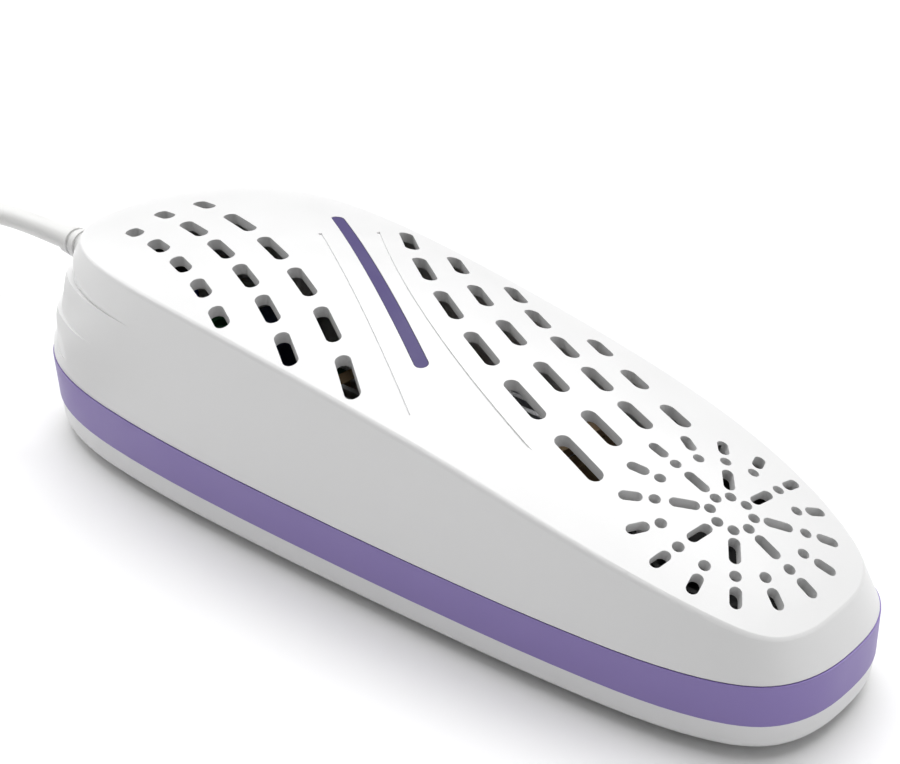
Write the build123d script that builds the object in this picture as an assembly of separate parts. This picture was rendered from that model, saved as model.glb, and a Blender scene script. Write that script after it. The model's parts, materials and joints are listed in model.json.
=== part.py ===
"""In-shoe boot dryer: two clipped shells with a coloured band between them, a warm-air
fan under the toe grille, a PTC heater in the middle and the mains entry at the heel.

Frame: +X runs from the heel to the toe, +Z is up, the origin is on the floor under the
middle of the housing. All sizes are millimetres.
"""
from build123d import *
import math
import os

# ---------------------------------------------------------------- driving dimensions
LENGTH = 165.0            # heel to toe, over the band
HALF = LENGTH / 2
WALL = 2.0                # shell wall
DECK_WALL = 1.8           # top deck
FOOT_HEIGHT = 1.0         # rubber feet under the base
GAP = 0.15                # visible parting gap
BAND_DEPTH = 2.25         # how far the band reaches into the housing
LIP = 1.3                 # wall of the lower shell's locating lip, which stands inside the band
LIP_RISE = 1.2            # how far the lip reaches into the upper shell

# plan outline: Fourier terms of x(t) and y(t), t = 0 at the toe
OUT_A2, OUT_A3 = -3.8, -6.1
OUT_B1, OUT_B2, OUT_B3 = 28.6, -4.05, 2.4

# side view
BAND_TOP = (16.0, 13.1, 12.0)        # height at heel, middle and toe
BAND_BOTTOM = (7.4, 6.1, 5.6)
DECK = (38.7, -11.2, -5.2, 1.6, -8.5)    # centre line height, powers of x / HALF
CROWN_HEEL, CROWN_TOE = 90.0, 58.0       # radius of the deck's cross curve at its crest
WALL_LEAN = 0.125                        # inward lean of the side wall, mm per mm
DOME, DOME_RISE = 15.0, 27.0             # heel: extra inset, and the rise where it is reached
NOSE, NOSE_RISE = 7.0, 8.9               # toe: the same

# heel ledges: height, how far towards the toe each one reaches, and how soon it fades out upwards
LEDGES = ((31.5, -38.0, 2.7), (24.5, -50.0, 0.4), (17.8, -62.0, 0.3))
LEDGE_DEPTH = 1.3
LEDGE_PITCH = 7.0

# vent rows: centre of the arcs, then (radius, first angle, step, count, length, first length)
SLOT_WIDTH = 2.5
HEEL_CENTRE = (-66.0, -139.0)
HEEL_ROWS = (
    (141.0, 84.2, -5.17, 6, 9.4, 5.5),
    (133.75, 84.9, -4.5, 6, 7.8, 5.0),
    (126.5, 84.0, -4.0, 5, 5.7, 4.2),
)
TOE_CENTRE = (81.0, 154.0)
TOE_ROWS = (
    (167.2, -125.85, 4.58, 6, 9.5, 9.5),
    (160.7, -122.4, 4.57, 5, 8.1, 8.1),
    (154.1, -118.4, 3.5, 5, 6.8, 6.8),
    (147.9, -111.4, 3.8, 3, 5.7, 5.7),
)
GROOVE_RADIUS = 172.2     # toe-side groove, about TOE_CENTRE
GROOVE_WIDTH = 0.6
GROOVE_DEPTH = 0.25

# diagonal light strip
STRIP_AT = (-8.0, 2.1)
STRIP_ANGLE = -28.5
STRIP_LENGTH = 53.4
STRIP_WIDTH = 2.3
STRIP_DEPTH = 3.0

# toe grille and the fan under it
FAN_X = 62.8
GRILLE_TURN = -4.7        # the pattern's turn about the fan axis
DOT = 1.7
RING_INNER, RING_DOTS, RING_OUTER = 3.1, 10.65, 13.9
SPOKE_AT, SPOKE_LENGTH = 6.6, 4.3
OUTER_LENGTH = 3.3
FAN_R = 14.4
FAN_DEPTH = 7.0
ROTOR_R = 12.6
SHAFT_R = 0.75
SHAFT_CLEARANCE = 0.03

# mains lead
LEAD_D = 4.8
LEAD_Z = 24.0

os.makedirs("parts", exist_ok=True)


# ---------------------------------------------------------------- shape formulas
def outline_point(t, inset, z):
    """Point of the plan outline at angle t, moved inwards by inset."""
    x = HALF * math.cos(t) + OUT_A2 * (math.cos(2 * t) - 1) + OUT_A3 * (math.cos(3 * t) - math.cos(t))
    y = OUT_B1 * math.sin(t) + OUT_B2 * math.sin(2 * t) + OUT_B3 * math.sin(3 * t)
    dx = (-HALF * math.sin(t) - 2 * OUT_A2 * math.sin(2 * t)
          - OUT_A3 * (3 * math.sin(3 * t) - math.sin(t)))
    dy = OUT_B1 * math.cos(t) + 2 * OUT_B2 * math.cos(2 * t) + 3 * OUT_B3 * math.cos(3 * t)
    size = math.hypot(dx, dy)
    depth = inset(x / HALF)
    return Vector(x - dy / size * depth, y + dx / size * depth, z)


def outline_face(inset, z, count=24):
    """Plan outline as one closed spline that starts and ends at the heel."""
    points = [outline_point(math.pi * (1 + 2 * k / count), inset, z) for k in range(count)]
    return Face(Wire([Edge.make_spline(points, periodic=True)]))


def flat(depth):
    return lambda s: depth


def wall_inset(z, extra=0.0):
    """Inset of the upper side wall at height z: straight sides, domed heel, rounded toe."""
    rise = max(0.0, z - BAND_TOP[1])

    def inset(s):
        heel = max(0.0, (-s - 0.35) / 0.65) ** 2
        toe = max(0.0, (s - 0.55) / 0.45) ** 2
        return (WALL_LEAN * rise + DOME * heel * min(1.0, rise / DOME_RISE) ** 3
                + NOSE * toe * (1 - math.exp(-(rise / NOSE_RISE) ** 1.5)) + extra)
    return inset


def block(inset, bottom, top):
    """Straight-walled block over the outline."""
    return extrude(outline_face(inset, bottom), top - bottom, dir=(0, 0, 1))


WALL_HEIGHTS = (11.8, 20.0, 30.0, 43.0)


def wall_block(extra):
    return loft([outline_face(wall_inset(z, extra), z) for z in WALL_HEIGHTS])


def deck_height(x):
    s = x / HALF
    return sum(c * s ** k for k, c in enumerate(DECK))


def deck_slope(x):
    return math.degrees(math.atan((deck_height(x + 0.5) - deck_height(x - 0.5))))


def crown(s):
    """Curvature term of the deck's cross section, falling as y squared."""
    share = (s + 1) / 2
    return (1 - share) / (2 * CROWN_HEEL) + share / (2 * CROWN_TOE)


def surface_height(x, y, lower=0.0):
    return deck_height(x) - lower - crown(x / HALF) * y * y


def bezier_values(powers, low, high):
    """Bezier ordinates of a polynomial, given by its powers, between low and high."""
    degree = len(powers) - 1
    span = high - low
    local = [sum(c * math.comb(k, j) * low ** (k - j) * span ** j
                 for k, c in enumerate(powers) if k >= j) for j in range(degree + 1)]
    return [sum(math.comb(k, j) / math.comb(degree, j) * local[j] for j in range(k + 1))
            for k in range(degree + 1)]


def under_deck(lower):
    """Everything below the deck surface, lowered by the given amount."""
    reach = (HALF + 1.5) / HALF
    half_width = 34.0
    heights = bezier_values(DECK, -reach, reach)
    squares = bezier_values((0, 0, half_width ** 2), -1, 1)
    net = []
    for k, height in enumerate(heights):
        s = reach * (k / 2 - 1)
        net.append([Vector(s * HALF, half_width * (j - 1), height - lower - crown(s) * squares[j])
                    for j in range(3)])
    return extrude(Face.make_bezier_surface(net), 60, dir=(0, 0, -1))


def side_curve(levels):
    reach = HALF + 6
    return ThreePointArc((-reach, 0, levels[0]), (0, 0, levels[1]), (reach, 0, levels[2]))


def beyond(levels, far):
    """Everything between a curve seen from the side and the level far."""
    curve = side_curve(levels)
    rest = Polyline(curve @ 1, (HALF + 6, 0, far), (-HALF - 6, 0, far), curve @ 0)
    return extrude(Face(Wire(curve.edges() + rest.edges())), 45, dir=(0, 1, 0), both=True)


def above(levels):
    return beyond(levels, 60)


def below(levels):
    return beyond(levels, -5)


def shifted(levels, by):
    return tuple(z + by for z in levels)


def rod(x, y, low, high, radius):
    """Upright round bar."""
    return Pos(x, y, (low + high) / 2) * Cylinder(radius, high - low)


def bar(x, y, low, high, size_x, size_y):
    """Upright block on a rectangular foot."""
    return Pos(x, y, (low + high) / 2) * Box(size_x, size_y, high - low)


def along_x(low, high, y, z, radius, end_radius=None):
    """Round bar or cone lying along X, from low to high."""
    shape = Cylinder(radius, high - low) if end_radius is None else Cone(radius, end_radius, high - low)
    return Pos((low + high) / 2, y, z) * Rot(0, 90, 0) * shape


def slot_cutter(length, width, depth):
    return extrude(SlotOverall(length, width), depth / 2, both=True)


def wire_run(points, radius, bend):
    """Thin insulated wire along straight runs with round bends."""
    path = FilletPolyline(*points, radius=bend)
    profile = Plane(origin=path @ 0, z_dir=path % 0) * Circle(radius)
    return sweep(profile, path=path)


# ---------------------------------------------------------------- vents, strip and grooves
def vent_cutters():
    cutters = []
    for centre, rows in ((HEEL_CENTRE, HEEL_ROWS), (TOE_CENTRE, TOE_ROWS)):
        for radius, first, step, count, length, first_length in rows:
            for k in range(count):
                angle = math.radians(first + k * step)
                x = centre[0] + radius * math.cos(angle)
                y = centre[1] + radius * math.sin(angle)
                size = first_length if k == 0 else length
                turn = math.degrees(angle) + 90
                cutters.append(Pos(x, y, surface_height(x, y)) * Rot(0, 0, turn)
                               * slot_cutter(size, SLOT_WIDTH, 9))
    return cutters


def strip_place(height):
    return Pos(STRIP_AT[0], STRIP_AT[1], height) * Rot(0, 0, STRIP_ANGLE)


def groove_cutter():
    """Two thin arcs either side of the light strip, only as deep as the deck's skin."""
    toe = Pos(TOE_CENTRE[0], TOE_CENTRE[1], 40) * (Cylinder(GROOVE_RADIUS + GROOVE_WIDTH / 2, 60)
                                                   - Cylinder(GROOVE_RADIUS - GROOVE_WIDTH / 2, 60))
    reach = bar(9, 2.0, 20, 60, 62, 29)
    heel = Pos(-2.7, -6.4, 40) * Rot(0, 0, -28.4) * Box(53, GROOVE_WIDTH, 60)
    return (toe & reach) + heel - under_deck(GROOVE_DEPTH)


FAN_PLANE = Plane(origin=(FAN_X, 0, deck_height(FAN_X)), x_dir=(
    math.cos(math.radians(deck_slope(FAN_X))), 0, math.sin(math.radians(deck_slope(FAN_X)))),
    z_dir=(-math.sin(math.radians(deck_slope(FAN_X))), 0, math.cos(math.radians(deck_slope(FAN_X)))))
FAN = FAN_PLANE.location


def grille_cutters():
    """Eight long spokes of dot, slot, dot and slot, with short spokes between them."""
    cutters = []
    depth = 8.0
    for k in range(16):
        turn = Rot(0, 0, GRILLE_TURN + k * 22.5)
        cutters.append(FAN * turn * Pos(RING_DOTS, 0, 0) * Cylinder(DOT / 2, depth))
        cutters.append(FAN * turn * Pos(RING_OUTER, 0, 0) * slot_cutter(OUTER_LENGTH, DOT, depth))
        if k % 2 == 0:
            cutters.append(FAN * turn * Pos(RING_INNER, 0, 0) * Cylinder(DOT / 2, depth))
            cutters.append(FAN * turn * Pos(SPOKE_AT, 0, 0) * slot_cutter(SPOKE_LENGTH, DOT, depth))
    return cutters


def ledge_cutter(height, front, clear):
    """Crescent step round the heel: deepest at its lower edge, fading out upwards and forwards."""
    base = wall_inset(height)

    def edge(s):
        return base(s) + LEDGE_DEPTH * (front - s * HALF) / (front + HALF)
    kept = loft([outline_face(edge, height - 0.01),
                 outline_face(wall_inset(height + LEDGE_PITCH, -clear), height + LEDGE_PITCH)])
    zone = Pos((front + 6 - 95) / 2, 0, height + LEDGE_PITCH / 2 - 0.2) * Box(
        front + 6 + 95, 80, LEDGE_PITCH - 0.4)
    return zone - kept


# ---------------------------------------------------------------- housing
SCREW_AT = ((-50, -19), (-50, 19), (42, -15), (42, 15))
SCREW_SPLIT = 17.0
SEAT_X = -HALF + 0.1      # outer face of the collar round the strain relief
SPOT_X = SEAT_X + 5.6     # spot face on the inside of that wall
COLLAR_R, NECK_R, BOOT_R, BOOT_TIP_R = 5.0, 3.4, 4.1, 2.9
BOOT_LENGTH = 16.0
BOOT_TIP = SEAT_X - BOOT_LENGTH
INNER_END = SPOT_X + 1.6


def upper_shell():
    outer = wall_block(0) & under_deck(0) & above(shifted(BAND_TOP, GAP))
    crest = [e for e in outer.edges() if e.center().Z > 15.5 and e.length > HALF]
    outer = fillet(crest, 1.0)
    for ledge in LEDGES:
        outer -= ledge_cutter(*ledge)
    collar = along_x(SEAT_X, SPOT_X + 0.5, 0, LEAD_Z, COLLAR_R)
    inner = wall_block(WALL) & under_deck(DECK_WALL)
    shell = (outer + collar) - inner + along_x(SEAT_X + 2, SPOT_X, 0, LEAD_Z, COLLAR_R)
    shell -= along_x(SPOT_X, -60, 0, LEAD_Z, COLLAR_R + 0.1)
    for x, y in SCREW_AT:
        shell += rod(x, y, SCREW_SPLIT + 0.1, surface_height(x, y) - 1.2, 3.0)
        shell -= rod(x, y, SCREW_SPLIT, SCREW_SPLIT + 9, 1.3)
    for x, y in BOARD_ENDS:
        shell += rod(x, y, LED_BOARD_TOP, surface_height(x, y) - 1.2, 2.3)
        shell -= rod(x, y, LED_BOARD_TOP - 1, LED_BOARD_TOP + 3, 0.9)
    for angle in LUG_ANGLES:
        lug = FAN * Rot(0, 0, angle) * Pos(LUG_R, 0, 0)
        shell += (lug * Pos(0, 0, -2.5) * Cylinder(2.3, 3.0)) & under_deck(1)
        shell -= lug * Pos(0, 0, -3.2) * Cylinder(0.9, 2.0)
    shell -= vent_cutters() + grille_cutters()
    shell -= [strip_place(surface_height(*STRIP_AT)) * slot_cutter(STRIP_LENGTH, STRIP_WIDTH, 16)]
    shell -= groove_cutter()
    shell -= along_x(-90, -60, 0, LEAD_Z, NECK_R + 0.05)
    return shell


def lip_inset(extra):
    """Inset of the locating lip: it gives way to the lean of the upper wall towards the heel."""
    return lambda s: BAND_DEPTH + 0.1 + 0.3 * max(0.0, (-s - 0.3) / 0.7) + extra


def lower_shell():
    outer = block(flat(0.25), FOOT_HEIGHT, 20) & below(BAND_BOTTOM)
    outer = fillet([e for e in outer.edges() if e.center().Z < FOOT_HEIGHT + 0.01], 2.4)
    lip = block(lip_inset(0), 3, 20) & below(shifted(BAND_TOP, LIP_RISE))
    shell = outer + lip - block(lip_inset(LIP), FOOT_HEIGHT + 2, 30)
    for x, y in SCREW_AT:
        shell += rod(x, y, FOOT_HEIGHT + 1, SCREW_SPLIT, 3.6)
        shell -= rod(x, y, 0, 4.0, 2.8)
        shell -= rod(x, y, 0, SCREW_SPLIT + 1, 1.5)
    for x, y in FEET_AT:
        shell -= rod(x, y, 0, FOOT_HEIGHT + 0.6, FOOT_R)
    shell -= bar(0, 0, 0, FOOT_HEIGHT + PLATE_T, PLATE_X, PLATE_Y)
    for x, y in PCB_POSTS:
        shell += rod(x, y, FOOT_HEIGHT + 1, PCB_Z, 2.6)
        shell -= rod(x, y, PCB_Z - 5, PCB_Z + 1, 0.9)
    for x in (HOLDER_X[0], HOLDER_X[1]):
        shell += bar(x, 0, FOOT_HEIGHT + 1, STACK_Z, 3.0, 20)
    saddle = bar(CLAMP_X, 0, FOOT_HEIGHT + 1, LEAD_Z - 0.4, 7, 18)
    saddle -= along_x(-90, -50, 0, LEAD_Z, LEAD_D / 2)
    for y in (-CLAMP_Y, CLAMP_Y):
        saddle -= rod(CLAMP_X, y, LEAD_Z - 8, LEAD_Z + 1, 0.9)
    return shell + saddle


def trim_band():
    ring = block(flat(0.0), 0, 25) - block(flat(BAND_DEPTH), -1, 26)
    return ring & below(BAND_TOP) & above(shifted(BAND_BOTTOM, GAP))


def light_strip():
    lens = strip_place(surface_height(*STRIP_AT)) * slot_cutter(STRIP_LENGTH - 0.2, STRIP_WIDTH - 0.2, 20)
    return lens & (under_deck(0.05) - under_deck(STRIP_DEPTH))


# ---------------------------------------------------------------- light under the strip
LED_BOARD_TOP = 29.8
LED_BOARD_T = 1.2
BOARD_REACH = STRIP_LENGTH / 2 + 4.1
BOARD_ENDS = tuple((STRIP_AT[0] + side * BOARD_REACH * math.cos(math.radians(STRIP_ANGLE)),
                    STRIP_AT[1] + side * BOARD_REACH * math.sin(math.radians(STRIP_ANGLE)))
                   for side in (-1, 1))
LED_AT = (-17, 0, 17)
LED_H = 1.4


def light_guide():
    guide = strip_place(LED_BOARD_TOP + LED_H + 8) * Box(STRIP_LENGTH - 4, 2.2, 16)
    return guide & under_deck(STRIP_DEPTH)


def led_board():
    board = strip_place(LED_BOARD_TOP - LED_BOARD_T / 2) * slot_cutter(2 * BOARD_REACH + 6, 6, LED_BOARD_T)
    for x, y in BOARD_ENDS:
        board -= rod(x, y, LED_BOARD_TOP - 5, LED_BOARD_TOP + 5, 1.1)
    return board


def leds():
    return Compound(children=[strip_place(LED_BOARD_TOP + LED_H / 2) * Pos(x, 0, 0) * Box(3.5, 2.8, LED_H)
                              for x in LED_AT])


def small_screw(x, y, seat, up, radius=0.85, length=4.5, head=1.9):
    """Small pan-head screw with its head on the far side of seat; up is +1 or -1."""
    body = rod(x, y, min(seat, seat + up * length), max(seat, seat + up * length), radius)
    cap = rod(x, y, min(seat, seat - up * 1.2), max(seat, seat - up * 1.2), head)
    recess = (Pos(x, y, seat - up * 1.2) * Box(2.4, 0.5, 1.0)) + (Pos(x, y, seat - up * 1.2) * Box(0.5, 2.4, 1.0))
    return body + cap - recess


def led_board_screws():
    return Compound(children=[small_screw(x, y, LED_BOARD_TOP - LED_BOARD_T, 1, length=4.0)
                              for x, y in BOARD_ENDS])


# ---------------------------------------------------------------- base fittings
FEET_AT = ((-60, -11), (-60, 11), (62, -8), (62, 8))
FOOT_R = 4.0
PLATE_X, PLATE_Y, PLATE_T = 44.0, 22.0, 0.4


def rubber_feet():
    feet = []
    for x, y in FEET_AT:
        foot = rod(x, y, 0, FOOT_HEIGHT + 0.6, FOOT_R)
        feet.append(chamfer(foot.edges().group_by(Axis.Z)[0], 0.4))
    return Compound(children=feet)


def rating_plate():
    return bar(0, 0, FOOT_HEIGHT, FOOT_HEIGHT + PLATE_T, PLATE_X, PLATE_Y)


def case_screws():
    return Compound(children=[small_screw(x, y, 4.0, 1, 1.25, 20.5, 2.6) for x, y in SCREW_AT])


# ---------------------------------------------------------------- mains entry
CLAMP_X, CLAMP_Y = -68.0, 6.0
SHEATH_END = -63.0
BOOT_GROOVES = 4


def strain_relief():
    """Tapered boot with bending grooves, a neck through the wall and an inner flange."""
    boot = along_x(BOOT_TIP, SEAT_X, 0, LEAD_Z, BOOT_TIP_R, BOOT_R)
    for k in range(BOOT_GROOVES):
        x = SEAT_X - 4.0 - 2.9 * k
        r = BOOT_R - (BOOT_R - BOOT_TIP_R) * (SEAT_X - x) / BOOT_LENGTH
        boot -= along_x(x - 0.6, x + 0.6, 0, LEAD_Z, 6) - along_x(x - 0.7, x + 0.7, 0, LEAD_Z, r - 0.4)
    neck = along_x(SEAT_X, INNER_END, 0, LEAD_Z, NECK_R)
    return boot + neck + along_x(SPOT_X, INNER_END, 0, LEAD_Z, COLLAR_R - 0.2)


def lead_inner_end():
    return along_x(INNER_END, SHEATH_END, 0, LEAD_Z, LEAD_D / 2)


def mains_cores():
    """The lead's two cores, from the end of the sheath down into the terminal block."""
    cores = []
    for side in (-1, 1):
        cores.append(wire_run([(SHEATH_END + 0.2, side * 1.2, LEAD_Z), (-59.8, side * 2.2, LEAD_Z),
                               (-59.8, side * 3, PCB_TOP + 3), (-55.2, side * 3, PCB_TOP + 3)], 0.7, 1.3))
    return Compound(children=cores)


def cord_clamp():
    clamp = bar(CLAMP_X, 0, LEAD_Z + 0.4, LEAD_Z + 4.4, 7, 18)
    clamp -= along_x(-90, -50, 0, LEAD_Z, LEAD_D / 2)
    for y in (-CLAMP_Y, CLAMP_Y):
        clamp -= rod(CLAMP_X, y, LEAD_Z, LEAD_Z + 6, 1.1)
    return clamp


def clamp_screws():
    return Compound(children=[small_screw(CLAMP_X, y, LEAD_Z + 4.4, -1, 0.85, 9) for y in (-CLAMP_Y, CLAMP_Y)])


# ---------------------------------------------------------------- control board
PCB_X, PCB_LENGTH, PCB_WIDTH, PCB_Z, PCB_T = -38.0, 42.0, 30.0, 8.0, 1.6
PCB_TOP = PCB_Z + PCB_T
PCB_POSTS = ((-56, -11), (-56, 11), (-20, -11), (-20, 11))


def control_board():
    board = bar(PCB_X, 0, PCB_Z, PCB_TOP, PCB_LENGTH, PCB_WIDTH)
    for x, y in PCB_POSTS:
        board -= rod(x, y, PCB_Z - 1, PCB_TOP + 1, 1.1)
    return board


def board_screws():
    return Compound(children=[small_screw(x, y, PCB_TOP, -1) for x, y in PCB_POSTS])


def terminal_block():
    body = bar(-53, 0, PCB_TOP, PCB_TOP + 8, 8, 12)
    for y in (-3, 3):
        body -= Pos(-57, y, PCB_TOP + 3) * Box(4, 2.6, 3.2)
        body -= rod(-53, y, PCB_TOP + 6.8, PCB_TOP + 9, 1.6)
    return body


def film_capacitor():
    return fillet(bar(-42, -7, PCB_TOP, PCB_TOP + 11, 13, 6).edges().group_by(Axis.Z)[-1], 0.6)


def smoothing_capacitor():
    can = rod(-42, 6, PCB_TOP + 0.3, PCB_TOP + 12, 4.0)
    return fillet(can.edges().group_by(Axis.Z)[-1], 0.5) + rod(-42, 6, PCB_TOP, PCB_TOP + 0.4, 3.0)


def bridge_rectifier():
    return chamfer(bar(-30, -7, PCB_TOP, PCB_TOP + 3.2, 8.5, 6.4).edges().group_by(Axis.Z)[-1], 0.5)


def resistors():
    parts = []
    for k in range(3):
        x = -33 + 4.2 * k
        parts.append(Pos(x, 5, PCB_TOP + 1.3) * Rot(90, 0, 0) * Cylinder(1.2, 6.5)
                     + rod(x, 8.9, PCB_TOP, PCB_TOP + 1.7, 0.35) + rod(x, 1.1, PCB_TOP, PCB_TOP + 1.7, 0.35)
                     + Pos(x, 5, PCB_TOP + 1.35) * Rot(90, 0, 0) * Cylinder(0.35, 8.2))
    return Compound(children=parts)


# ---------------------------------------------------------------- heater
STACK_X = 12.0
SINK_LENGTH, SINK_WIDTH = 38.0, 22.0
STACK_Z = 7.5
SINK_H, SINK_BASE = 6.5, 1.6
ELECTRODE_T, PTC_T, FILM_T = 0.4, 2.4, 0.2
FINS = 9
HOLDER_X = (STACK_X - SINK_LENGTH / 2 - 1.5, STACK_X + SINK_LENGTH / 2 + 1.5)
LOWER_TOP = STACK_Z + SINK_H
ELECTRODE_LOW = LOWER_TOP + FILM_T
PTC_LOW = ELECTRODE_LOW + ELECTRODE_T
ELECTRODE_HIGH = PTC_LOW + PTC_T
UPPER_LOW = ELECTRODE_HIGH + ELECTRODE_T + FILM_T
STACK_TOP = UPPER_LOW + SINK_H


def heat_sink(low, fins_up):
    """Flat base with thin upright fins running along the air stream."""
    base_low = low if fins_up else low + SINK_H - SINK_BASE
    fin_low, fin_high = (low, low + SINK_H)
    sink = bar(STACK_X, 0, base_low, base_low + SINK_BASE, SINK_LENGTH, SINK_WIDTH)
    for k in range(FINS):
        y = -SINK_WIDTH / 2 + 0.5 + k * (SINK_WIDTH - 1) / (FINS - 1)
        sink += bar(STACK_X, y, fin_low, fin_high, SINK_LENGTH, 1.0)
    return sink


def electrode(low, side):
    plate = bar(STACK_X, 0, low, low + ELECTRODE_T, 34, 18)
    tab = Pos(STACK_X - 16, side * 11, low + ELECTRODE_T / 2) * Box(3, 6, ELECTRODE_T)
    return plate + tab


def electrodes():
    return Compound(children=[electrode(ELECTRODE_LOW, -1), electrode(ELECTRODE_HIGH, 1)])


def ptc_elements():
    return Compound(children=[bar(STACK_X - 11 + 11 * k, 0, PTC_LOW, PTC_LOW + PTC_T, 10, 15)
                              for k in range(3)])


def insulating_films():
    return Compound(children=[bar(STACK_X, 0, z, z + FILM_T, 36, 20)
                              for z in (LOWER_TOP, UPPER_LOW - FILM_T)])


def heater_holders():
    holders = []
    for x in HOLDER_X:
        frame = bar(x, 0, STACK_Z, STACK_TOP, 3.0, 26)
        frame -= bar(x, 0, STACK_Z + 2, LOWER_TOP - 2, 4, 18) + bar(x, 0, UPPER_LOW + 2, STACK_TOP - 1.5, 4, 18)
        holders.append(frame)
    return Compound(children=holders)


CUTOUT_X = HOLDER_X[0] - 1.5 - 2.0
CUTOUT_Z = STACK_Z + 7.5


def thermal_cutout():
    body = fillet(bar(CUTOUT_X, 0, STACK_Z + 4, STACK_Z + 12, 4, 15).edges().filter_by(Axis.X), 1.0)
    for side in (-1, 1):
        body += bar(CUTOUT_X, side * 9.2, CUTOUT_Z - 1.5, CUTOUT_Z + 1.5, 0.6, 5)
    return body


def thermal_fuse():
    z = STACK_TOP + 1.9
    return along_x(STACK_X - 5.5, STACK_X + 5.5, 0, z, 1.9) + along_x(STACK_X - 11, STACK_X + 11, 0, z, 0.5)


def heater_wires():
    """Board to cutout, cutout to the upper electrode, lower electrode back to the board."""
    low = ELECTRODE_LOW + ELECTRODE_T / 2
    high = ELECTRODE_HIGH + ELECTRODE_T / 2
    tab = STACK_X - 16
    routes = (
        [(-24, -10.9, PCB_TOP + 0.1), (-24, -10.9, CUTOUT_Z), (CUTOUT_X - 0.3, -10.9, CUTOUT_Z)],
        [(CUTOUT_X, 11.7, CUTOUT_Z), (CUTOUT_X, 15.6, CUTOUT_Z), (tab, 15.6, high), (tab, 14, high)],
        [(-22.5, -13.6, PCB_TOP + 0.5), (-22.5, -15.6, low), (tab, -15.6, low), (tab, -14, low)],
    )
    return Compound(children=[wire_run(route, 0.7, 1.1) for route in routes])


# ---------------------------------------------------------------- fan
FAN_TOP = -4.0
FAN_LOW = FAN_TOP - FAN_DEPTH
LUG_R = FAN_R + 2.0
LUG_ANGLES = (130, 230)
BLADES = 7
HUB_R = 6.6


def disc(radius, low, high):
    """Disc about the fan axis; heights are measured from the deck along the axis."""
    return FAN * Pos(0, 0, (low + high) / 2) * Cylinder(radius, high - low)


def ring(outer, inner, low, high):
    return disc(outer, low, high) - disc(inner, low - 1, high + 1)


def fan_frame():
    frame = ring(FAN_R, FAN_R - 1.1, FAN_LOW, FAN_TOP)
    frame += disc(5.4, FAN_LOW, FAN_LOW + 1.0)
    for k in range(3):
        arm = FAN * Rot(0, 0, 60 + 120 * k) * Pos(9.3, 0, FAN_LOW + 0.5) * Box(9.6, 1.8, 1.0)
        frame += arm
    frame += ring(2.0, 1.3, FAN_LOW + 0.5, FAN_TOP - 2.2)
    for angle in LUG_ANGLES:
        place = FAN * Rot(0, 0, angle)
        frame += place * Pos(LUG_R, 0, FAN_TOP - 0.75) * Cylinder(2.3, 1.5)
        frame += place * Pos(FAN_R - 0.2, 0, FAN_TOP - 0.75) * Box(1.6, 4.2, 1.5)
        frame -= place * Pos(LUG_R, 0, FAN_TOP - 0.75) * Cylinder(1.1, 3)
    return frame


def fan_bearing():
    return ring(1.3, SHAFT_R + SHAFT_CLEARANCE, FAN_LOW + 1.2, FAN_TOP - 2.4)


def fan_stator():
    core = ring(4.6, 2.0, FAN_LOW + 1.6, FAN_TOP - 2.6)
    for k in range(4):
        core -= FAN * Rot(0, 0, 45 + 90 * k) * Pos(4.4, 0, FAN_LOW + 3) * Box(2.2, 1.0, 6)
    return core


def fan_shaft():
    return disc(SHAFT_R, FAN_LOW + 1.3, FAN_TOP - 1.6)


def fan_rotor():
    top = FAN_TOP - 0.6
    hub = disc(HUB_R, FAN_LOW + 1.5, top) - disc(HUB_R - 0.6, FAN_LOW + 1, top - 1.0)
    for k in range(BLADES):
        blade = Pos((HUB_R + ROTOR_R) / 2 - 0.2, 0, FAN_TOP - 3.4) * Rot(32, 0, 0) * Box(
            ROTOR_R - HUB_R + 0.4, 6.4, 0.8)
        hub += FAN * Rot(0, 0, k * 360 / BLADES) * blade
    hub &= disc(ROTOR_R, FAN_LOW + 1.4, top)
    return hub


def rotor_magnet():
    return ring(HUB_R - 0.6, HUB_R - 1.2, FAN_LOW + 1.8, FAN_TOP - 1.8)


def fan_seal():
    return ring(FAN_R - 0.5, FAN_R - 1.1, FAN_TOP, 0) & under_deck(DECK_WALL)


def fan_screws():
    screws = []
    for angle in LUG_ANGLES:
        place = FAN * Rot(0, 0, angle) * Pos(LUG_R, 0, 0)
        screw = Pos(0, 0, FAN_TOP - 0.1) * Cylinder(0.85, 3.0) + Pos(0, 0, FAN_TOP - 2.1) * Cylinder(1.9, 1.2)
        screws.append(place * screw)
    return Compound(children=screws)


def fan_wires():
    """Two wires along the floor of the housing, from the board to the fan's base."""
    wires = []
    for side, rise in ((1, 0.0), (-1, 1.5)):
        run = 5.0 + rise
        wires.append(wire_run([(-28 - rise, 14, PCB_Z - 0.4), (-28 - rise, 15.8, run), (26, 14.6, run),
                               (40, 9, run), (53.5, side * 1.6, 8.0 + rise), (56.1, side * 1.4, 15.7)],
                              0.6, 1.0))
    return Compound(children=wires)


# ---------------------------------------------------------------- mains lead and plug
COIL_AT = (-179.0, -23.0)
COIL_R = 25.5             # middle of the bundle
COIL_STEP = 4.9           # from one turn to the next, three across and three high
COIL_TURNS = 7.54
PLUG_X, PLUG_Y = -94.0, -46.9     # middle of the plug's face
PLUG_T = 13.7
PLUG_Z = PLUG_T / 2
PIN_R, PIN_LENGTH, PIN_SPACING = 2.0, 19.0, 18.6

LEAD_ROUTE = ((BOOT_TIP, 0.0, LEAD_Z), (-122.0, 0.8, 23.6), (-144.0, 3.3, 18.4),
              (-164.0, 6.9, 12.9))
TAIL_ROUTE = ((-158.0, -48.9, 2.4), (-148.0, -47.2, 5.0), (-138.0, -46.9, PLUG_Z))


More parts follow.
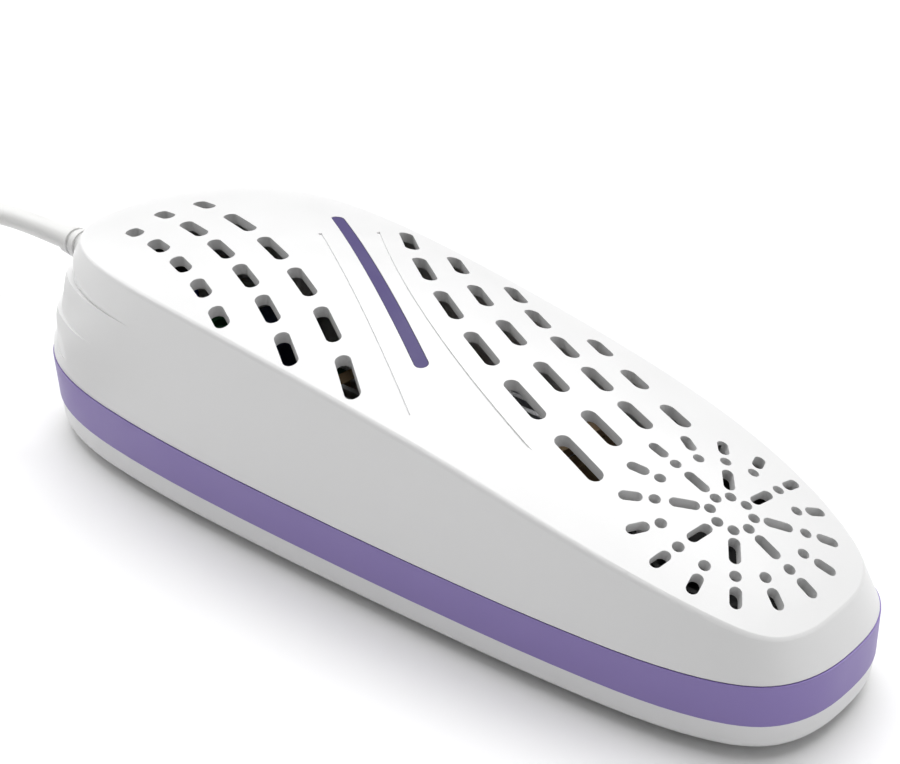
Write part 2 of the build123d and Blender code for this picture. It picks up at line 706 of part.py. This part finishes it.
def corner_radii(points):
    radii = []
    for before, corner, after in zip(points, points[1:], points[2:]):
        run_in = Vector(*corner) - Vector(*before)
        run_out = Vector(*after) - Vector(*corner)
        half_turn = math.radians(run_in.get_angle(run_out) / 2)
        radii.append(0.45 * min(run_in.length, run_out.length) / math.tan(half_turn))
    return radii


def cord_tube(points):
    radii = corner_radii(points)
    path = FilletPolyline(*points, radius=radii)
    tube = sweep(Plane(origin=path @ 0, z_dir=path % 0) * Circle(LEAD_D / 2), path=path)
    expected = math.pi * LEAD_D ** 2 / 4 * path.length
    print("cord radii", [round(r) for r in radii], "length", round(path.length, 1),
          "volume", round(tube.volume), "of", round(expected))
    return tube


def mains_lead():
    return cord_tube(LEAD_ROUTE)


def lead_tail():
    return cord_tube(TAIL_ROUTE)


def lead_coil():
    size = 2 * COIL_STEP + LEAD_D
    section = Plane.XZ * Pos(COIL_R, size / 2) * RectangleRounded(size, size, LEAD_D / 2)
    return Pos(*COIL_AT, 0) * revolve(section, Axis.Z)


def plug_body():
    """Flat two-pin plug, widest at the pin face, with a short boot round the lead."""
    half = 17.6
    outline = Polyline((0, -half), (0, half), (-9, half), (-27, 8), (-36, 5.5), (-36, -5.5),
                       (-27, -8), (-9, -half), (0, -half))
    body = extrude(make_face(outline), PLUG_T)
    body = fillet(body.edges().filter_by(Axis.Z), 2.0)
    body = fillet(body.edges().group_by(Axis.Z)[0] + body.edges().group_by(Axis.Z)[-1], 1.4)
    boot = along_x(-44, -30, 0, PLUG_Z, BOOT_TIP_R, 5.4)
    return Pos(PLUG_X, PLUG_Y, 0) * (body + boot)


def plug_pins():
    pins = []
    for side in (-1, 1):
        pin = along_x(PLUG_X, PLUG_X + PIN_LENGTH, PLUG_Y + side * PIN_SPACING / 2, PLUG_Z, PIN_R)
        pins.append(fillet(pin.edges().sort_by(Axis.X)[-1], 1.2))
    return Compound(children=pins)


NODES = (
    upper_shell, lower_shell, trim_band, light_strip, light_guide, led_board, leds, led_board_screws,
    rubber_feet, rating_plate, case_screws, strain_relief, lead_inner_end, mains_cores, cord_clamp,
    clamp_screws, control_board, board_screws, terminal_block, film_capacitor, smoothing_capacitor,
    bridge_rectifier, resistors, electrodes, ptc_elements, insulating_films, heater_holders,
    thermal_cutout, thermal_fuse, heater_wires, fan_frame, fan_bearing, fan_stator, fan_shaft,
    fan_rotor, rotor_magnet, fan_seal, fan_screws, fan_wires, mains_lead, lead_coil, lead_tail,
    plug_body, plug_pins,
)

for node in NODES:
    export_step(node(), f"parts/{node.__name__}.step")
export_step(heat_sink(STACK_Z, False), "parts/heat_sink_lower.step")
export_step(heat_sink(UPPER_LOW, True), "parts/heat_sink_upper.step")
print("lead, boot to plug:", round(COIL_TURNS * 2 * math.pi * COIL_R
                                   + FilletPolyline(*LEAD_ROUTE, radius=corner_radii(LEAD_ROUTE)).length
                                   + FilletPolyline(*TAIL_ROUTE, radius=corner_radii(TAIL_ROUTE)).length))
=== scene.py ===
"""Boot dryer: the camera, light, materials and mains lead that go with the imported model.

Everything is in metres in the model's own frame: +X from the heel to the toe, +Z up, and
the origin on the floor under the middle of the housing.
"""
import json
import math

import bpy
from mathutils import Matrix, Vector


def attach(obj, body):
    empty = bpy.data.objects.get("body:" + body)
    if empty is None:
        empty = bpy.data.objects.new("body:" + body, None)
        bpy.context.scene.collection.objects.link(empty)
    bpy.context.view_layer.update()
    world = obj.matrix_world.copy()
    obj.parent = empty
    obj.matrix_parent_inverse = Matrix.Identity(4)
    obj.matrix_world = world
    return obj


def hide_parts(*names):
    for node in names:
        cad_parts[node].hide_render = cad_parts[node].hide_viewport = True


MM = 0.001
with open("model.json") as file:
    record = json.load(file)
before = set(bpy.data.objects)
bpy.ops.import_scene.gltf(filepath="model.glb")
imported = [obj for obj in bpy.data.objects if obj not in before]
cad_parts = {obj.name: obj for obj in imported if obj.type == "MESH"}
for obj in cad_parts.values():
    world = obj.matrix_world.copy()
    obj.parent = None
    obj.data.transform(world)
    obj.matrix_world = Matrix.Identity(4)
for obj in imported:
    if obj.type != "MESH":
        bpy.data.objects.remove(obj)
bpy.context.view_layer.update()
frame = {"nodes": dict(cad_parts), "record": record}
nodes = frame["nodes"]

# ---------------------------------------------------------------- sizes
LEAD_D = 4.8 * MM
COIL_AT = Vector((-179, -23, 0)) * MM
COIL_R = 25.5 * MM
COIL_STEP = 4.9 * MM
TURN_POINTS = 18
ENTRY_ANGLE, EXIT_ANGLE = 90, 285      # degrees round the coil
MOVE_FROM, MOVE_OVER = 310, 100        # where a turn passes to the next seat, and over how far

# seats of the turns, as columns from the middle and rows from the floor
SEATS = ((1, 2), (0, 2), (1, 1), (0, 1), (-1, 1), (-1, 0), (0, 0), (1, 0))

LEAD_ROUTE = ((-98.4, 0.0, 24.0), (-122.0, 0.8, 23.6), (-144.0, 3.3, 18.4), (-164.0, 6.9, 12.9))
TAIL_ROUTE = ((-158.0, -48.9, 2.4), (-148.0, -47.2, 5.0), (-138.0, -46.9, 6.85))


# ---------------------------------------------------------------- camera
CAMERA_ANGLES = (45.03, 27.32, -2.26)      # azimuth, elevation and roll in degrees
CAMERA_DISTANCE = 247.6 * MM
CAMERA_TARGET = Vector((-4.88, 15.07, 16.25)) * MM
LENS, SENSOR_WIDTH = 57.08, 36


def make_camera():
    """Close three-quarter view from the toe, with a slight tilt of the picture."""
    azimuth, elevation, roll = [math.radians(angle) for angle in CAMERA_ANGLES]
    back = Vector((math.sin(azimuth) * math.cos(elevation), -math.cos(azimuth) * math.cos(elevation),
                   math.sin(elevation)))
    right = Vector((math.cos(azimuth), math.sin(azimuth), 0))
    up = back.cross(right)
    turn = Matrix.Rotation(roll, 3, back)
    right, up = turn @ right, turn @ up
    data = bpy.data.cameras.new("camera")
    data.sensor_fit = "HORIZONTAL"
    data.sensor_width = SENSOR_WIDTH
    data.lens = LENS
    data.clip_start = 0.01
    data.clip_end = 20
    camera = bpy.data.objects.new("camera", data)
    bpy.context.scene.collection.objects.link(camera)
    place = CAMERA_TARGET + back * CAMERA_DISTANCE
    camera.matrix_world = Matrix((
        (right.x, up.x, back.x, place.x),
        (right.y, up.y, back.y, place.y),
        (right.z, up.z, back.z, place.z),
        (0, 0, 0, 1)))
    bpy.context.scene.camera = camera


make_camera()


# ---------------------------------------------------------------- materials
class Maker:
    """One node tree: adds nodes and links them with short calls."""

    def __init__(self, name):
        self.material = bpy.data.materials.new(name)
        self.material.use_nodes = True
        self.tree = self.material.node_tree
        self.shader = self.tree.nodes["Principled BSDF"]
        self.place = self.tree.nodes.new("ShaderNodeTexCoord").outputs["Object"]

    def set(self, **values):
        for key, value in values.items():
            self.shader.inputs[key.replace("_", " ")].default_value = value

    def noise(self, scale, detail=3.0, rough=0.5):
        node = self.tree.nodes.new("ShaderNodeTexNoise")
        node.inputs["Scale"].default_value = scale
        node.inputs["Detail"].default_value = detail
        node.inputs["Roughness"].default_value = rough
        self.tree.links.new(self.place, node.inputs["Vector"])
        return node.outputs["Fac"]

    def spread(self, source, low, high):
        node = self.tree.nodes.new("ShaderNodeMapRange")
        node.inputs["From Min"].default_value = 0.3
        node.inputs["From Max"].default_value = 0.7
        node.inputs["To Min"].default_value = low
        node.inputs["To Max"].default_value = high
        self.tree.links.new(source, node.inputs["Value"])
        return node.outputs["Result"]

    def mix(self, factor, first, second):
        node = self.tree.nodes.new("ShaderNodeMix")
        node.data_type = "RGBA"
        node.inputs["A"].default_value = (*first, 1)
        node.inputs["B"].default_value = (*second, 1)
        self.tree.links.new(factor, node.inputs["Factor"])
        return node.outputs["Result"]

    def link(self, source, name):
        self.tree.links.new(source, self.shader.inputs[name])

    def bump(self, source, distance, strength=1.0):
        node = self.tree.nodes.new("ShaderNodeBump")
        node.inputs["Strength"].default_value = strength
        node.inputs["Distance"].default_value = distance
        self.tree.links.new(source, node.inputs["Height"])
        self.link(node.outputs["Normal"], "Normal")


def moulded(name, colour, rough, grain=0.25, depth=0.012, drift=0.02, coat=0.0, metal=0.0):
    """Moulded plastic or rubber: fine tool grain, faint uneven gloss and faint colour drift."""
    m = Maker(name)
    m.set(Metallic=metal, Coat_Weight=coat, Coat_Roughness=0.12)
    darker = tuple(c * (1 - drift) for c in colour)
    m.link(m.mix(m.noise(35, 2), darker, colour), "Base Color")
    m.link(m.spread(m.noise(120, 4), rough * 0.9, rough * 1.12), "Roughness")
    m.bump(m.noise(1000 / grain, 2), depth * MM)
    return m.material


def brushed(name, colour, rough):
    """Metal with fine streaks and an uneven polish."""
    m = Maker(name)
    m.set(Metallic=1.0)
    m.link(m.mix(m.noise(400, 3), tuple(c * 0.86 for c in colour), colour), "Base Color")
    m.link(m.spread(m.noise(900, 4), rough * 0.75, rough * 1.3), "Roughness")
    m.bump(m.noise(3000, 2), 0.006 * MM)
    return m.material


def clear(name, colour, rough, through):
    m = Maker(name)
    m.set(Transmission_Weight=through, IOR=1.49, Base_Color=(*colour, 1))
    m.link(m.spread(m.noise(300, 3), rough * 0.8, rough * 1.2), "Roughness")
    m.bump(m.noise(900, 2), 0.004 * MM)
    return m.material


WHITE = (0.80, 0.80, 0.80)
VIOLET = (0.245, 0.180, 0.465)
FINISHES = {
    "white_shell": moulded("white_abs", WHITE, 0.34, grain=0.22, depth=0.006, drift=0.012),
    "band_violet": moulded("violet_band", VIOLET, 0.42, grain=0.2, depth=0.006, drift=0.04),
    "strip_violet": moulded("violet_strip", (0.048, 0.030, 0.150), 0.6, grain=0.4, depth=0.004),
    "clear_guide": clear("clear_guide", (0.9, 0.9, 0.95), 0.25, 0.8),
    "board_green": moulded("board_green", (0.012, 0.07, 0.028), 0.4, grain=0.6, depth=0.01, drift=0.2),
    "led_body": moulded("led_body", (0.85, 0.80, 0.55), 0.3, grain=0.5),
    "foot_rubber": moulded("foot_rubber", (0.02, 0.02, 0.02), 0.75, grain=0.35, depth=0.03, drift=0.2),
    "label_grey": moulded("label_grey", (0.55, 0.55, 0.56), 0.45, grain=0.5, drift=0.05),
    "steel": brushed("zinc_steel", (0.62, 0.62, 0.64), 0.32),
    "lead_white": moulded("lead_pvc", (0.74, 0.74, 0.73), 0.5, grain=0.35, depth=0.02, drift=0.05),
    "core_blue": moulded("core_blue", (0.02, 0.06, 0.35), 0.45, grain=0.4, drift=0.1),
    "black_nylon": moulded("black_nylon", (0.012, 0.012, 0.013), 0.5, grain=0.3, depth=0.02, drift=0.3),
    "terminal_green": moulded("terminal_green", (0.02, 0.16, 0.05), 0.45, grain=0.4, drift=0.1),
    "capacitor_yellow": moulded("capacitor_yellow", (0.60, 0.38, 0.02), 0.35, grain=0.6, drift=0.08),
    "can_blue": moulded("can_sleeve", (0.03, 0.045, 0.12), 0.3, grain=0.5, drift=0.1, coat=0.3),
    "resistor_tan": moulded("resistor_lacquer", (0.48, 0.33, 0.18), 0.4, grain=0.4, drift=0.15),
    "fin_aluminium": brushed("extruded_aluminium", (0.72, 0.73, 0.75), 0.38),
    "electrode_brass": brushed("brass_sheet", (0.72, 0.52, 0.22), 0.3),
    "ptc_ceramic": moulded("ptc_ceramic", (0.03, 0.028, 0.028), 0.65, grain=0.25, depth=0.03, drift=0.3),
    "film_amber": moulded("polyimide_film", (0.50, 0.18, 0.02), 0.25, grain=0.8, drift=0.1, coat=0.4),
    "holder_tan": moulded("phenolic", (0.30, 0.20, 0.10), 0.6, grain=0.3, depth=0.02, drift=0.2),
    "fuse_beige": moulded("fuse_case", (0.62, 0.56, 0.40), 0.5, grain=0.4, drift=0.1),
    "silicone_red": moulded("silicone_red", (0.33, 0.015, 0.01), 0.5, grain=0.4, drift=0.12),
    "fan_black": moulded("fan_black", (0.014, 0.014, 0.015), 0.42, grain=0.3, depth=0.01, drift=0.2),
    "bearing_bronze": brushed("sintered_bronze", (0.45, 0.27, 0.12), 0.5),
    "stator_copper": brushed("copper_windings", (0.60, 0.24, 0.10), 0.4),
    "magnet_dark": moulded("bonded_ferrite", (0.02, 0.018, 0.018), 0.6, grain=0.25, depth=0.02, drift=0.3),
    "seal_foam": moulded("seal_foam", (0.015, 0.015, 0.015), 0.9, grain=0.5, depth=0.08, drift=0.3),
    "plug_white": moulded("plug_pvc", (0.74, 0.74, 0.73), 0.48, grain=0.3, depth=0.02, drift=0.04),
    "pin_nickel": brushed("nickel_pin", (0.66, 0.64, 0.60), 0.2),
}


def dress_nodes():
    wanted = {part["node"]: part["material_slot"] for part in frame["record"]["subparts"]}
    for name, thing in nodes.items():
        for place in thing.material_slots:
            place.material = FINISHES[wanted[name]]


dress_nodes()


# ---------------------------------------------------------------- mains lead
def coil_points():
    """Neat turns on top of and beside each other, from the heel's side round to the plug's."""
    last = EXIT_ANGLE + 360 * (len(SEATS) - 1)
    count = round((last - ENTRY_ANGLE) * TURN_POINTS / 360)
    points = []
    for k in range(count + 1):
        angle = ENTRY_ANGLE + (last - ENTRY_ANGLE) * k / count
        turn, past = divmod(angle - MOVE_FROM, 360)
        here = SEATS[int(turn) + 1] if turn >= 0 else SEATS[0]
        before = SEATS[int(turn)] if turn >= 0 else SEATS[0]
        share = min(1.0, past / MOVE_OVER)
        share = share * share * (3 - 2 * share)
        column = before[0] + (here[0] - before[0]) * share
        row = before[1] + (here[1] - before[1]) * share
        radius = (COIL_R + column * COIL_STEP) / math.cos(math.pi / TURN_POINTS)
        a = math.radians(angle)
        points.append(COIL_AT + Vector((radius * math.cos(a), radius * math.sin(a),
                                        LEAD_D / 2 + row * COIL_STEP)))
    return points


def make_lead():
    route = [Vector(p) * MM for p in LEAD_ROUTE] + coil_points() + [Vector(p) * MM for p in TAIL_ROUTE]
    data = bpy.data.curves.new("lead", "CURVE")
    data.dimensions = "3D"
    data.bevel_depth = LEAD_D / 2
    data.bevel_resolution = 6
    data.resolution_u = 8
    spline = data.splines.new("NURBS")
    spline.points.add(len(route) - 1)
    for point, place in zip(spline.points, route):
        point.co = (*place, 1)
    spline.order_u = 3
    spline.use_endpoint_u = True
    lead = bpy.data.objects.new("mains_lead_line", data)
    bpy.context.scene.collection.objects.link(lead)
    data.materials.append(FINISHES["lead_white"])
    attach(lead, "housing")
    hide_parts("mains_lead", "lead_coil", "lead_tail")


make_lead()


# ---------------------------------------------------------------- floor and light
FLOOR_REACH = 6.0
WORLD_STRENGTH = 0.2
SKY_STRENGTH, SKY_ANGLE = 3.25, math.radians(62)
SKY_FROM = Vector((-0.15, 0.32, 0.9))


def make_floor():
    r = FLOOR_REACH
    mesh = bpy.data.meshes.new("floor")
    mesh.from_pydata([(-r, -r, 0), (r, -r, 0), (r, r, 0), (-r, r, 0)], [], [(0, 1, 2, 3)])
    floor = bpy.data.objects.new("floor", mesh)
    bpy.context.scene.collection.objects.link(floor)
    m = Maker("floor_paper")
    m.link(m.mix(m.noise(3, 2), (0.90, 0.90, 0.90), (0.92, 0.92, 0.92)), "Base Color")
    m.set(Roughness=0.85)
    mesh.materials.append(m.material)


def area_light(name, place, aim, size, power):
    data = bpy.data.lights.new(name, "AREA")
    data.shape = "RECTANGLE"
    data.size, data.size_y = size
    data.energy = power
    light = bpy.data.objects.new(name, data)
    bpy.context.scene.collection.objects.link(light)
    light.location = place
    light.rotation_euler = (Vector(aim) - Vector(place)).to_track_quat("-Z", "Y").to_euler()


def sky_light():
    """Broad, soft light from above and behind, the same over the whole floor."""
    data = bpy.data.lights.new("sky", "SUN")
    data.energy = SKY_STRENGTH
    data.angle = SKY_ANGLE
    light = bpy.data.objects.new("sky", data)
    bpy.context.scene.collection.objects.link(light)
    light.rotation_euler = SKY_FROM.to_track_quat("Z", "Y").to_euler()


def make_light():
    world = bpy.data.worlds.new("studio")
    world.use_nodes = True
    world.node_tree.nodes["Background"].inputs["Color"].default_value = (1, 1, 1, 1)
    world.node_tree.nodes["Background"].inputs["Strength"].default_value = WORLD_STRENGTH
    bpy.context.scene.world = world
    sky_light()
    area_light("heel", (-0.8, -0.1, 0.4), (-0.05, 0, 0.02), (0.6, 0.6), 3)
    area_light("toe", (0.8, 0.15, 0.3), (0.07, 0, 0.02), (0.5, 0.5), 0.6)


make_floor()
make_light()
bpy.context.scene.view_settings.view_transform = "Standard"
